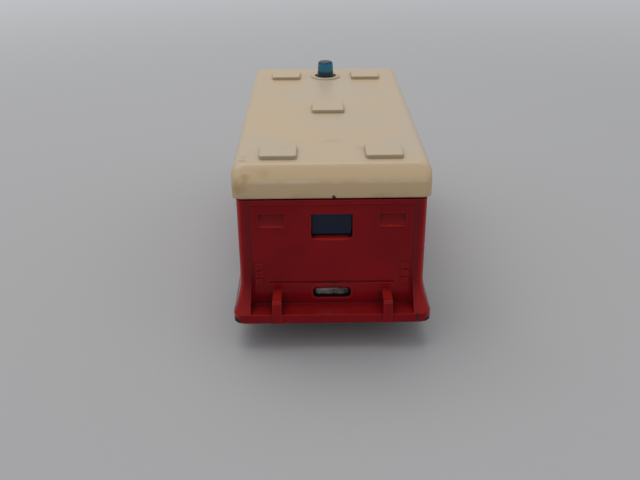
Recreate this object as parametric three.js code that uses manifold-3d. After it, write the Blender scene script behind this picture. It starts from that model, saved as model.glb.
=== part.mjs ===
// A die-cast toy armoured truck. Millimetres, +Y forward, +X the truck's right side, +Z up.
// The origin is on the ground under the middle of the truck.
// The painted body takes a tinted window moulding from below and a plastic roof from above. A bare metal
// base closes it: a tab at the base's back locks in a slot of the rear wall, and a post of the body is
// riveted over under the front. Two wire axles lie in saddles of the base, under webs of the body.

import * as THREE from "three";
import { mergeVertices } from "three/addons/utils/BufferGeometryUtils.js";
import Module from "manifold-3d";

const wasm = await Module();
wasm.setup();

// Clearances
const FIT_GAP = 0.3; // between two fixed pieces
const RUN_GAP = 0.1; // round a turning axle
const BEACON_GAP = 0.15; // round the beacon's foot in the roof
const TAB_GAP = 0.36; // round the base's tab in the rear slot
const BOSS_GAP = 0.15; // round the rear pane's boss in its opening

// Wheels and axles
const WHEEL_DIAMETER = 11.2;
const WHEEL_WIDTH = 4.2;
const WHEEL_INSET = 0.15; // from the body's side to a wheel's outer face
const WHEEL_BOSS = 0.4; // how far a hub stands out of the wheel's inner face
const WHEEL_SIDES = 28;
const TYRE_WALL = 1.1; // height of the tyre's side
const TYRE_SHOULDER = 0.35;
const HUB_DISC = 1.3; // thickness of the wheel's disc
const HUB_DISH = 0.65; // how far the disc lies behind the tyre's outer face
const HUB_RADIUS = 1.75;
const ARCH_COUNT = 5;
const ARCH_DEPTH = 0.5;
const ARCH_WIDTH = 1.6;
const AXLE_DIAMETER = 1.0;
const AXLE_HEAD_DIAMETER = 1.9;
const AXLE_HEAD = 0.5; // thickness of the axle's peened head
const WHEELBASE = 44;
const FRONT_OVERHANG = 9.2; // from the front axle to the front of the bumper

// Body
const BODY_WIDTH = 26.5;
const BODY_HEIGHT = 18.3; // from the skirt's lower edge to the ledge under the roof
const BOX_LENGTH = 55.8; // from the rear pillars to the head of the windscreen
const WINDSCREEN_RAKE = 1.6;
const HOOD_LENGTH = 11.2;
const FENDER_WIDTH = 4.05; // from the body's side to the hood
const HOOD_TAPER = 1.0; // how far each side of the hood leans in
const HOOD_RISE = 1.0; // the hood's nose above the fenders
const HOOD_SLOPE = 1.3; // the hood's fall from the windscreen to the nose
const HOOD_ROUND = 1.1;
const HOOD_SETBACK = 0.3; // from the body's nose to the hood's
const HOOD_ROOT = 2.5; // how far the hood runs down and back into the body
const WALL = 1.2;
const REAR_WALL = 1.6;
const NOSE_WALL = 1.5;
const DECK = 1.2; // the plate that closes the body under the roof
const PILLAR_ROUND = 0.9;
const INNER_ROUND = 0.3;
const NOSE_ROUND = 2.0;
const SKIRT_FLARE = 1.0;
const FLARE_HEIGHT = 4.2;
const SKIRT_CHAMFER = 0.3;
const WHEEL_ARCH_GAP = 0.9; // between a tyre and its arch
const ARCH_LIP = 0.7; // width of the raised lip round a wheel arch
const LIP_PROUD = 0.4;
const FENDER_CROWN = 1.3; // metal above a wheel arch
const FENDER_EDGE = 0.65; // rounding of a fender's top edge
const SPIGOT_HEIGHT = 1.5; // rim on the deck that goes up inside the roof
const SPIGOT_WALL = 1.0;

// Rear wall
const STEP_DEPTH = 2.8;
const STEP_HEIGHT = 1.6;
const STEP_ROUND = 1.4;
const PILLAR_WIDTH = 1.5; // of the corner pillars beside the rear panel
const PANEL_SPLAY = 0.6; // width of the slope from a pillar in to the panel
const PANEL_DEPTH = 0.4; // the rear panel lies this far in front of the corner pillars' faces
const PANEL_HEAD = 0.65; // metal between the panel and the roof ledge
const REAR_WINDOW_WIDTH = 5.85;
const REAR_WINDOW_HEIGHT = 3.75;
const REAR_WINDOW_DROP = 2.3; // below the roof ledge
const VENT_WIDTH = 3.65;
const VENT_HEIGHT = 1.75;
const VENT_DROP = 2.25;
const VENT_SPACING = 17;
const VENT_DEPTH = 0.5;
const VENT_LIP = 0.3; // height of the lip under a vent
const VENT_LIP_PROUD = 0.15;
const LAMP_WIDTH = 1.1;
const LAMP_HEIGHT = 0.9;
const LAMP_PITCH = 1.25;
const LAMP_COUNT = 3;
const LAMP_PROUD = 0.2;
const LAMP_RISE = 3.35; // from the step to the lowest lamp
const LAMP_SPACING = 20.9;
const DOOR_LINE_WIDTH = 18;
const DOOR_LINE_RISE = 3.42;
const LINE_WIDTH = 0.4; // of every line cut in the body
const LINE_DEPTH = 0.25;
const SLOT_WIDTH = 5.5;
const SLOT_HEIGHT = 1.75;
const SLOT_RISE = 1.05;
const SLOT_ROUND = 0.6;
const SLOT_RIM = 0.4;
const SLOT_RIM_PROUD = 0.15;
const OVERRIDER_WIDTH = 1.3;
const OVERRIDER_SPACING = 15.9;
const OVERRIDER_RISE = 2.25; // above the step
const OVERRIDER_CHAMFER = 0.4;
const OVERRIDER_PROUD = 0.25; // behind the step

// Sides and windscreen
const DOOR_LENGTH = 9.2;
const DOOR_SETBACK = 4.2; // from the windscreen's head to the door's front edge
const DOOR_FOOT = 1.9; // from the skirt's lower edge to the door
const DOOR_HEAD = 0.9;
const DOOR_ROUND = 0.8;
const DOOR_WINDOW_LENGTH = 6.2;
const DOOR_WINDOW_HEAD = 2.2;
const DOOR_WINDOW_SILL = 0.4; // above the hood's highest line
const WINDOW_ROUND = 0.6;
const HANDLE_DROP = 1.6; // from the door window to the handle
const HANDLE_REAR = 1.2; // from the door's rear edge
const HANDLE_LENGTH = 1.9;
const HANDLE_HEIGHT = 0.6;
const HANDLE_ROUND = 0.2;
const HANDLE_PROUD = 0.4;
const PORT_DIAMETER = 1.7;
const PORT_BORE = 0.8;
const PORT_PROUD = 0.35;
const SIDE_PANEL_HEIGHT = 7.6;
const SIDE_PANEL_HEAD = 1.3;
const SIDE_PANEL_DEPTH = 0.25;
const SIDE_PANEL_REAR = 4.0; // from the rear pillars to the panel
const SIDE_PANEL_FRONT = 1.4; // from the panel to the door
const WINDSCREEN_SILL = 0.9;
const WINDSCREEN_HEAD = 1.6;
const WINDSCREEN_PANE = 10.1;
const WINDSCREEN_PILLAR = 1.6;

// Roof
const ROOF_OVERHANG = 0.55; // past the body's sides and windscreen
const ROOF_REAR_OVERHANG = 0.15;
const ROOF_HEIGHT = 4.36;
const ROOF_WALL_HEIGHT = 2.4; // of the rear wall, up to the slope
const ROOF_SLOPE = 2.0; // depth of the slope over the rear wall
const ROOF_SOFT = 0.35; // softening of the slope's ends
const ROOF_EDGE = 1.2; // rounding of the other top edges
const ROOF_CORNER = 1.2;
const ROOF_INNER_CORNER = 0.6;
const ROOF_THICKNESS = 1.2;
const HATCH_WIDTH = 5.25;
const HATCH_LENGTH = 4.9;
const HATCH_HEIGHT = 0.65;
const HATCH_ROUND = 0.45;
const HATCH_EDGE = 0.25; // rounding of a hatch's top edge
const HATCH_REAR = 3.5; // from the roof's rear edge to the first hatches
const HATCH_FRONT = 4.7; // from the last hatches to the roof's front edge
const HATCH_SPACING = 14.9;
const PEG_DIAMETER = 1.6;
const PEG_HEAD_DIAMETER = 2.6;
const PEG_HEAD = 0.5;
const PEG_SPACING = 18.4;
const PEG_REAR = 5.1; // from the roof's rear edge to the rear pegs
const PEG_FRONT = 3.05; // from the front pegs to the tray of the panes

// Beacon and panes
const BEACON_DIAMETER = 2.95; // above its foot
const BEACON_TOP_DIAMETER = 2.8;
const BEACON_FOOT_DIAMETER = 3.7;
const BEACON_FOOT = 0.95; // height of the flared foot
const BEACON_HEIGHT = 3.0; // above the roof
const BEACON_ROUND = 0.5;
const BEACON_SETBACK = 7.3; // from the roof's front edge
const BEACON_SIDES = 24;
const COLLAR_DIAMETER = 5.4;
const COLLAR_HEIGHT = 0.3;
const COLLAR_EDGE = 0.15;
const PANE = 0.8;
const PANE_LAP = 0.8; // how far a pane runs past its opening
const BOSS_RECESS = 0.8; // from the rear panel's face to the boss of the rear pane
const SPINE_WIDTH = 4.4; // strip that carries the rear pane
const TRAY_BEHIND_DOOR = 1.8; // how far the tray of the panes runs behind the door
const STUD_DIAMETER = 1.5;
const STUD_HEAD_DIAMETER = 2.5;
const STUD_HEAD = 0.5;
const STUD_SPACING = 15;
const STUD_REAR = 4.4; // from the rear wall to the stud of the rear pane's strip

// Base
const BASE_THICKNESS = 0.9;
const BASE_INSET = 0.15; // above the skirt's lower edge
const SADDLE_WIDTH = 2.8;
const SADDLE_LENGTH = 3.2;
const SADDLE_MARGIN = 0.5; // from the saddle to the base's edge
const WEB_THICKNESS = 2.0;
const WHEEL_BAY_GAP = 0.7;
const GRILLE_INSET = 2.95; // from the body's side to the grille's opening
const GRILLE_DROP = 1.5; // from the fenders' top to the grille's opening
const GRILLE_PLATE = 1.1;
const GRILLE_BAR = 0.55;
const GRILLE_BARS = 5;
const GRILLE_BAR_PROUD = 0.35;
const GRILLE_BAR_WIDTH = 11.4;
const GRILLE_FOOT = 0.5; // space under the lowest bar, in bar pitches
const HEADLAMP_DIAMETER = 3.3;
const HEADLAMP_SPACING = 16.2;
const HEADLAMP_PROUD = 0.45;
const HEADLAMP_DISH = 0.5; // depth of a lamp's hollow
const BUMPER_INSET = 0.15; // from the body's side to the bumper's end
const BUMPER_HEIGHT = 2.2;
const BUMPER_THICKNESS = 1.05;
const BUMPER_ROUND = 0.5;
const TAB_RECESS = 0.3; // from the rear panel's face to the tab's end
const TAB_ROUND = 0.4;
const TAB_POST = 1.2;
const RIVET_DIAMETER = 2.6;
const RIVET_HEAD_DIAMETER = 4.0;
const RIVET_HEAD = 0.5;
const RIVET_COLLAR = 0.8;
const RIVET_COLLAR_WALL = 0.8;
const RIVET_AHEAD = 4.1; // of the front axle
const RAIL_SPACING = 9.6;
const RAIL_REAR = 4.4; // from the rear wall to the rails
const RAIL_WIDTH = 1.5;
const RAIL_PROUD = 0.3;
const PROPSHAFT_DIAMETER = 1.4;
const AXLE_CASE_DIAMETER = 4.6;
const AXLE_CASE_PROUD = 0.5;

const ROUND_SIDES = 16;
const SMALL_SIDES = 10; // of pegs, studs and ports
const CORNER_STEPS = 3;
const FLARE_STEPS = 5;
const WELD = 1e-4;
const OVERCUT = 1; // how far a cut runs past the face that it opens
const BITE = 0.2; // how far a raised detail is rooted in its wall

// Heights, from the wheels up
const wheelRadius = WHEEL_DIAMETER / 2;
const axleRadius = AXLE_DIAMETER / 2;
const axleZ = wheelRadius;
const baseTop = axleZ - axleRadius - RUN_GAP;
const baseBottom = baseTop - BASE_THICKNESS;
const skirtBottom = baseBottom - BASE_INSET;
const stepTop = skirtBottom + STEP_HEIGHT;
const flareTop = stepTop + FLARE_HEIGHT;
const archRadius = wheelRadius + WHEEL_ARCH_GAP;
const fenderTop = axleZ + archRadius + FENDER_CROWN;
const noseTop = fenderTop + HOOD_RISE;
const cowlTop = noseTop + HOOD_SLOPE;
const ledge = skirtBottom + BODY_HEIGHT;
const deckBottom = ledge - DECK;
const roofBottom = ledge + FIT_GAP;
const roofTop = roofBottom + ROOF_HEIGHT;
const roofInside = roofTop - ROOF_THICKNESS;
const trayTop = deckBottom - FIT_GAP;
const trayBottom = trayTop - PANE;

// Places along the truck, from the rear step forward
const noseGap = FIT_GAP + BUMPER_THICKNESS;
const overallLength = STEP_DEPTH + OVERRIDER_PROUD + BOX_LENGTH + WINDSCREEN_RAKE + HOOD_LENGTH + noseGap;
const stepRear = -overallLength / 2 + OVERRIDER_PROUD;
const pillarRear = stepRear + STEP_DEPTH;
const panelRear = pillarRear + PANEL_DEPTH;
const rearInside = pillarRear + REAR_WALL;
const boxFront = pillarRear + BOX_LENGTH;
const cowl = boxFront + WINDSCREEN_RAKE;
const nose = cowl + HOOD_LENGTH;
const bumperFront = nose + noseGap;
const frontAxleY = bumperFront - FRONT_OVERHANG;
const rearAxleY = frontAxleY - WHEELBASE;
const roofRear = pillarRear - ROOF_REAR_OVERHANG;
const roofFront = boxFront + ROOF_OVERHANG;
const beaconY = roofFront - BEACON_SETBACK;
const doorFront = boxFront - DOOR_SETBACK;
const doorRear = doorFront - DOOR_LENGTH;
const trayRear = doorRear - TRAY_BEHIND_DOOR;
const rivetY = frontAxleY + RIVET_AHEAD;

// Places across the truck
const halfBody = BODY_WIDTH / 2;
const halfInside = halfBody - WALL;
const halfRoof = halfBody + ROOF_OVERHANG;
const wheelOuter = halfBody - WHEEL_INSET;
const wheelMiddle = wheelOuter - WHEEL_WIDTH / 2;
const baseWaist = wheelOuter - WHEEL_WIDTH - WHEEL_BOSS - FIT_GAP;
const saddleOuter = baseWaist - SADDLE_MARGIN;

// Openings that more than one piece follows
const rearWindow = {
  half: REAR_WINDOW_WIDTH / 2,
  bottom: ledge - REAR_WINDOW_DROP - REAR_WINDOW_HEIGHT,
  top: ledge - REAR_WINDOW_DROP,
};
const doorWindow = {
  rear: doorFront - (DOOR_LENGTH + DOOR_WINDOW_LENGTH) / 2,
  front: doorFront - (DOOR_LENGTH - DOOR_WINDOW_LENGTH) / 2,
  bottom: cowlTop + DOOR_WINDOW_SILL,
  top: ledge - DOOR_WINDOW_HEAD,
};
const windscreen = {
  outer: WINDSCREEN_PILLAR / 2 + WINDSCREEN_PANE,
  bottom: cowlTop + WINDSCREEN_SILL,
  top: ledge - WINDSCREEN_HEAD,
};
const slot = { half: SLOT_WIDTH / 2, bottom: stepTop + SLOT_RISE, top: stepTop + SLOT_RISE + SLOT_HEIGHT };
const grilleTop = fenderTop - GRILLE_DROP;
const pegPlaces = [roofRear + PEG_REAR, trayRear - PEG_FRONT].flatMap((y) =>
  [-1, 1].map((side) => [(side * PEG_SPACING) / 2, y]),
);
const studPlaces = [
  [-STUD_SPACING / 2, (trayRear + doorWindow.rear) / 2],
  [STUD_SPACING / 2, (trayRear + doorWindow.rear) / 2],
  [0, rearInside + STUD_REAR],
];

// A closed geometry as a solid that can be joined and cut.
function solid(geometry) {
  const bare = new THREE.BufferGeometry();
  bare.setAttribute("position", geometry.getAttribute("position"));
  bare.setIndex(geometry.getIndex());
  const welded = mergeVertices(bare, WELD);
  return new wasm.Manifold(
    new wasm.Mesh({
      numProp: 3,
      vertProperties: welded.getAttribute("position").array,
      triVerts: new Uint32Array(welded.getIndex().array),
    }),
  );
}

// A mesh of a solid, with flat facets.
function piece(name, shape, finish) {
  const { vertProperties, triVerts } = shape.getMesh();
  const indexed = new THREE.BufferGeometry();
  indexed.setAttribute("position", new THREE.BufferAttribute(vertProperties, 3));
  indexed.setIndex(new THREE.BufferAttribute(triVerts, 1));
  const geometry = indexed.toNonIndexed();
  geometry.computeVertexNormals();
  const mesh = new THREE.Mesh(geometry, new THREE.MeshStandardMaterial(finish));
  mesh.name = name;
  return mesh;
}

// Spans along one axis, as the lower and the upper end.
function about(middle, width) {
  return [middle - width / 2, middle + width / 2];
}

function upwards(first, second) {
  return [Math.min(first, second), Math.max(first, second)];
}

function block(x, y, z) {
  const [width, length, height] = [x, y, z].map(([from, to]) => Math.abs(to - from));
  const geometry = new THREE.BoxGeometry(width, length, height);
  const middle = [x, y, z].map(([from, to]) => (from + to) / 2);
  return solid(geometry.translate(...middle));
}

// Outlines for the prisms, in the plane that each prism names.
function rectangle([left, right], [low, high], radius) {
  const outline = new THREE.Shape();
  outline.moveTo(left + radius, low);
  outline.lineTo(right - radius, low);
  outline.quadraticCurveTo(right, low, right, low + radius);
  outline.lineTo(right, high - radius);
  outline.quadraticCurveTo(right, high, right - radius, high);
  outline.lineTo(left + radius, high);
  outline.quadraticCurveTo(left, high, left, high - radius);
  outline.lineTo(left, low + radius);
  outline.quadraticCurveTo(left, low, left + radius, low);
  return outline;
}

function polygon(points) {
  return new THREE.Shape(points.map(([u, v]) => new THREE.Vector2(u, v)));
}

function prism(outline, depth, basis) {
  const geometry = new THREE.ExtrudeGeometry(outline, {
    depth,
    bevelEnabled: false,
    curveSegments: CORNER_STEPS,
  });
  return geometry.applyMatrix4(basis);
}

// An outline in Y and Z, drawn out along X.
function prismX(outline, [from, to]) {
  const basis = new THREE.Matrix4().makeBasis(
    new THREE.Vector3(0, 1, 0),
    new THREE.Vector3(0, 0, 1),
    new THREE.Vector3(1, 0, 0),
  );
  return solid(prism(outline, to - from, basis).translate(from, 0, 0));
}

// An outline in X and Z, drawn out along Y.
function prismY(outline, [from, to]) {
  const basis = new THREE.Matrix4().makeRotationX(Math.PI / 2);
  return solid(prism(outline, to - from, basis).translate(0, to, 0));
}

// An outline in X and Y, drawn out along Z.
function prismZ(outline, [from, to]) {
  return solid(prism(outline, to - from, new THREE.Matrix4()).translate(0, 0, from));
}

function rodX(radius, [from, to], y, z, sides = ROUND_SIDES) {
  const geometry = new THREE.CylinderGeometry(radius, radius, to - from, sides);
  return solid(geometry.rotateZ(-Math.PI / 2).translate((from + to) / 2, y, z));
}

function rodY(radius, [from, to], x, z, sides = ROUND_SIDES) {
  const geometry = new THREE.CylinderGeometry(radius, radius, to - from, sides);
  return solid(geometry.translate(x, (from + to) / 2, z));
}

function rodZ(radius, [from, to], x, y, sides = ROUND_SIDES) {
  const geometry = new THREE.CylinderGeometry(radius, radius, to - from, sides);
  return solid(geometry.rotateX(Math.PI / 2).translate(x, y, (from + to) / 2));
}

// A profile of radius and height, turned about a line along Z.
function turned(profile, x, y, sides = ROUND_SIDES) {
  const points = profile.map(([radius, height]) => new THREE.Vector2(radius, height));
  const geometry = new THREE.LatheGeometry(points, sides);
  return solid(geometry.rotateX(Math.PI / 2).translate(x, y, 0));
}

// A rounded rectangle in plan, as a ring of points that runs anticlockwise seen from above.
function planRing({ z, half, rear, front, rearRound, frontRound = rearRound, middle = 0 }) {
  const corners = [
    [half - rearRound, rear + rearRound, rearRound],
    [half - frontRound, front - frontRound, frontRound],
    [frontRound - half, front - frontRound, frontRound],
    [rearRound - half, rear + rearRound, rearRound],
  ];
  return corners.flatMap(([x, y, radius], corner) =>
    Array.from({ length: CORNER_STEPS + 1 }, (_, step) => {
      const angle = ((corner - 1 + step / CORNER_STEPS) * Math.PI) / 2;
      return [middle + x + radius * Math.cos(angle), y + radius * Math.sin(angle), z];
    }),
  );
}

// A solid through rings of points, each above the last.
function loft(sections) {
  const rings = sections.map(planRing);
  const count = rings[0].length;
  const index = [];
  for (let start = 0; start + count < rings.length * count; start += count) {
    for (let here = 0; here < count; here += 1) {
      const next = (here + 1) % count;
      index.push(start + here, start + next, start + next + count);
      index.push(start + here, start + next + count, start + here + count);
    }
  }
  const top = (rings.length - 1) * count;
  for (let here = 1; here + 1 < count; here += 1) {
    index.push(0, here + 1, here);
    index.push(top, top + here, top + here + 1);
  }
  const geometry = new THREE.BufferGeometry();
  geometry.setAttribute("position", new THREE.Float32BufferAttribute(rings.flat(2), 3));
  geometry.setIndex(index);
  return solid(geometry);
}

// Heights and insets up a rounded edge that ends at the height given.
function topEdge(top, radius) {
  return Array.from({ length: CORNER_STEPS + 1 }, (_, step) => {
    const angle = (step / CORNER_STEPS) * (Math.PI / 2);
    return [top - radius * (1 - Math.sin(angle)), radius * (1 - Math.cos(angle))];
  });
}

function join(first, ...others) {
  return others.reduce((whole, other) => whole.add(other), first);
}

function cut(first, ...others) {
  return others.reduce((whole, other) => whole.subtract(other), first);
}

// 0 above the flare, 1 at the step and below, on a hollow curve between.
function flareAt(z) {
  const share = THREE.MathUtils.clamp((flareTop - z) / FLARE_HEIGHT, 0, 1);
  return share * share;
}

// The outer face of the windscreen's wall.
function windscreenAt(z) {
  return THREE.MathUtils.mapLinear(z, cowlTop, ledge, cowl, boxFront);
}

function hoodTopAt(y) {
  return THREE.MathUtils.mapLinear(y, cowl, nose, cowlTop, noseTop);
}

// The body up to the fenders: the skirt flares out at the sides and runs out to the step at the back.
function lowerBody() {
  const section = (z, inset) => ({
    z,
    half: halfBody + SKIRT_FLARE * flareAt(z) - inset,
    rear: pillarRear - STEP_DEPTH * flareAt(z) + inset,
    front: nose - inset,
    rearRound: THREE.MathUtils.lerp(PILLAR_ROUND, STEP_ROUND, flareAt(z)),
    frontRound: NOSE_ROUND,
  });
  const flare = Array.from({ length: FLARE_STEPS + 1 }, (_, step) =>
    section(stepTop + (FLARE_HEIGHT * step) / FLARE_STEPS, 0),
  );
  return loft([
    section(skirtBottom, SKIRT_CHAMFER),
    section(skirtBottom + SKIRT_CHAMFER, 0),
    ...flare,
    ...topEdge(fenderTop, FENDER_EDGE).map(([z, inset]) => section(z, inset)),
  ]);
}

function upperBody() {
  const section = (z, front) => ({ z, half: halfBody, rear: pillarRear, front, rearRound: PILLAR_ROUND });
  return loft([section(flareTop, cowl), section(cowlTop, cowl), section(ledge, boxFront)]);
}

// The hood, or with an inset the space inside it.
function hood(inset) {
  const foot = fenderTop - HOOD_ROOT;
  const front = nose - HOOD_SETBACK - inset;
  const behind = cowl - HOOD_ROOT;
  const crownFront = noseTop - inset;
  const shoulder = front - HOOD_ROUND;
  const side = new THREE.Shape();
  side.moveTo(behind, foot);
  side.lineTo(front, foot);
  side.lineTo(front, crownFront - HOOD_ROUND);
  side.quadraticCurveTo(front, crownFront, shoulder, hoodTopAt(shoulder) - inset);
  side.lineTo(behind, hoodTopAt(behind) - inset);
  const wide = halfBody - FENDER_WIDTH - inset;
  const high = cowlTop + OVERCUT;
  const facing = new THREE.Shape();
  facing.moveTo(-wide, foot);
  facing.lineTo(wide, foot);
  facing.lineTo(wide, fenderTop - inset);
  facing.quadraticCurveTo(wide, cowlTop - inset, wide - HOOD_TAPER - HOOD_ROUND, high - inset);
  facing.lineTo(HOOD_TAPER + HOOD_ROUND - wide, high - inset);
  facing.quadraticCurveTo(-wide, cowlTop - inset, -wide, fenderTop - inset);
  return prismX(side, [-wide, wide]).intersect(prismY(facing, [behind, nose]));
}

function bodyInside() {
  const low = skirtBottom - OVERCUT;
  const lower = (z) => ({
    z,
    half: halfInside,
    rear: rearInside,
    front: nose - NOSE_WALL,
    rearRound: INNER_ROUND,
    frontRound: NOSE_ROUND,
  });
  const upper = (z) => ({
    z,
    half: halfInside,
    rear: rearInside,
    front: windscreenAt(z) - WALL,
    rearRound: INNER_ROUND,
  });
  const belowCowl = { ...upper(cowlTop), z: low };
  return join(
    loft([lower(low), lower(fenderTop - WALL)]),
    loft([belowCowl, upper(cowlTop), upper(deckBottom)]),
    hood(WALL),
  );
}

function rearDetails(body) {
  const half = halfBody - PILLAR_WIDTH;
  const panel = polygon([
    [-half, stepRear - OVERCUT],
    [half, stepRear - OVERCUT],
    [half, pillarRear],
    [half - PANEL_SPLAY, panelRear],
    [PANEL_SPLAY - half, panelRear],
    [-half, pillarRear],
  ]);
  const proud = (height) => [panelRear - height, panelRear + BITE];
  const through = [stepRear - OVERCUT, rearInside + OVERCUT];
  const ventTop = ledge - VENT_DROP;
  const ventFoot = ventTop - VENT_HEIGHT;
  const vent = polygon([
    [panelRear - OVERCUT, ventFoot],
    [panelRear, ventFoot],
    [panelRear + VENT_DEPTH, ventFoot + VENT_HEIGHT / 2],
    [panelRear + VENT_DEPTH, ventTop],
    [panelRear - OVERCUT, ventTop],
  ]);
  const lineLow = stepTop + DOOR_LINE_RISE;
  let rear = cut(
    body,
    prismZ(panel, [stepTop, ledge - PANEL_HEAD]),
    block(
      [-DOOR_LINE_WIDTH / 2, DOOR_LINE_WIDTH / 2],
      [panelRear - OVERCUT, panelRear + LINE_DEPTH],
      [lineLow, lineLow + LINE_WIDTH],
    ),
  );
  const rimHalf = slot.half + SLOT_RIM;
  const rimOutline = rectangle(
    [-rimHalf, rimHalf],
    [slot.bottom - SLOT_RIM, slot.top + SLOT_RIM],
    SLOT_ROUND + SLOT_RIM,
  );
  rear = join(rear, prismY(rimOutline, proud(SLOT_RIM_PROUD)));
  const overriderFoot = skirtBottom + SKIRT_CHAMFER;
  const overriderTop = stepTop + OVERRIDER_RISE;
  const overriderRear = stepRear - OVERRIDER_PROUD;
  const overrider = polygon([
    [overriderRear, overriderFoot],
    [panelRear + BITE, overriderFoot],
    [panelRear + BITE, overriderTop],
    [overriderRear + OVERRIDER_CHAMFER, overriderTop],
    [overriderRear, overriderTop - OVERRIDER_CHAMFER],
  ]);
  for (const side of [-1, 1]) {
    const ventSpan = about((side * VENT_SPACING) / 2, VENT_WIDTH);
    const postSpan = about((side * OVERRIDER_SPACING) / 2, OVERRIDER_WIDTH);
    const lampSpan = about((side * LAMP_SPACING) / 2, LAMP_WIDTH);
    rear = join(
      cut(rear, prismX(vent, ventSpan)),
      block(ventSpan, proud(VENT_LIP_PROUD), [ventFoot - VENT_LIP, ventFoot]),
      prismX(overrider, postSpan),
    );
    for (let lamp = 0; lamp < LAMP_COUNT; lamp += 1) {
      const low = stepTop + LAMP_RISE + lamp * LAMP_PITCH;
      rear = join(rear, block(lampSpan, proud(LAMP_PROUD), [low, low + LAMP_HEIGHT]));
    }
  }
  const windowOutline = rectangle(
    [-rearWindow.half, rearWindow.half],
    [rearWindow.bottom, rearWindow.top],
    WINDOW_ROUND / 2,
  );
  const slotOutline = rectangle([-slot.half, slot.half], [slot.bottom, slot.top], SLOT_ROUND);
  return cut(rear, prismY(windowOutline, through), prismY(slotOutline, through));
}

function sideDetails(body) {
  const doorLow = skirtBottom + DOOR_FOOT;
  const doorHigh = ledge - DOOR_HEAD;
  const doorLine = rectangle([doorRear, doorFront], [doorLow, doorHigh], DOOR_ROUND);
  const doorLeaf = rectangle(
    [doorRear + LINE_WIDTH, doorFront - LINE_WIDTH],
    [doorLow + LINE_WIDTH, doorHigh - LINE_WIDTH],
    DOOR_ROUND - LINE_WIDTH,
  );
  const pane = rectangle(
    [doorWindow.rear, doorWindow.front],
    [doorWindow.bottom, doorWindow.top],
    WINDOW_ROUND,
  );
  const panelTop = ledge - SIDE_PANEL_HEAD;
  const sidePanel = rectangle(
    [pillarRear + SIDE_PANEL_REAR, doorRear - SIDE_PANEL_FRONT],
    [panelTop - SIDE_PANEL_HEIGHT, panelTop],
    DOOR_ROUND,
  );
  const handleTop = doorWindow.bottom - HANDLE_DROP;
  const portY = doorWindow.front - PORT_DIAMETER / 2;
  const portZ = handleTop - HANDLE_HEIGHT / 2;
  let sides = body;
  for (const side of [-1, 1]) {
    const span = (inner, outer) => upwards(side * (halfBody + inner), side * (halfBody + outer));
    const lines = prismX(doorLine, span(-LINE_DEPTH, OVERCUT)).subtract(
      prismX(doorLeaf, span(-LINE_DEPTH - OVERCUT, OVERCUT * 2)),
    );
    sides = cut(
      sides,
      lines,
      prismX(pane, span(-WALL - OVERCUT, OVERCUT)),
      prismX(sidePanel, span(-SIDE_PANEL_DEPTH, OVERCUT)),
    );
    const handleRear = doorRear + HANDLE_REAR;
    const handle = rectangle(
      [handleRear, handleRear + HANDLE_LENGTH],
      [handleTop - HANDLE_HEIGHT, handleTop],
      HANDLE_ROUND,
    );
    sides = join(
      sides,
      prismX(handle, span(-BITE, HANDLE_PROUD)),
      rodX(PORT_DIAMETER / 2, span(-BITE, PORT_PROUD), portY, portZ, SMALL_SIDES),
    );
    sides = cut(sides, rodX(PORT_BORE / 2, span(-BITE, OVERCUT), portY, portZ, SMALL_SIDES));
    for (const axleY of [frontAxleY, rearAxleY]) {
      const lip = rodX(archRadius + ARCH_LIP, span(-BITE, LIP_PROUD), axleY, axleZ, WHEEL_SIDES);
      const belowSkirt = block(
        span(-OVERCUT, OVERCUT * 2),
        [axleY - archRadius * 2, axleY + archRadius * 2],
        [axleZ - archRadius * 2, skirtBottom + SKIRT_CHAMFER],
      );
      const well = rodX(archRadius, span(baseWaist - halfBody, OVERCUT * 2), axleY, axleZ, WHEEL_SIDES);
      sides = cut(join(sides, lip.subtract(belowSkirt)), well);
    }
  }
  return sides;
}

// Two flat panes with a pillar between them, and the opening for the grille.
function frontDetails(body) {
  const through = [boxFront - WALL - OVERCUT, cowl + OVERCUT];
  let front = body;
  for (const side of [-1, 1]) {
    const edges = upwards((side * WINDSCREEN_PILLAR) / 2, side * windscreen.outer);
    const opening = rectangle(edges, [windscreen.bottom, windscreen.top], WINDOW_ROUND);
    front = cut(front, prismY(opening, through));
  }
  const half = halfBody - GRILLE_INSET;
  const grille = rectangle([-half, half], [skirtBottom - OVERCUT * 2, grilleTop], WINDOW_ROUND);
  return cut(front, prismY(grille, [nose - NOSE_WALL - OVERCUT, nose + OVERCUT]));
}

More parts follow.
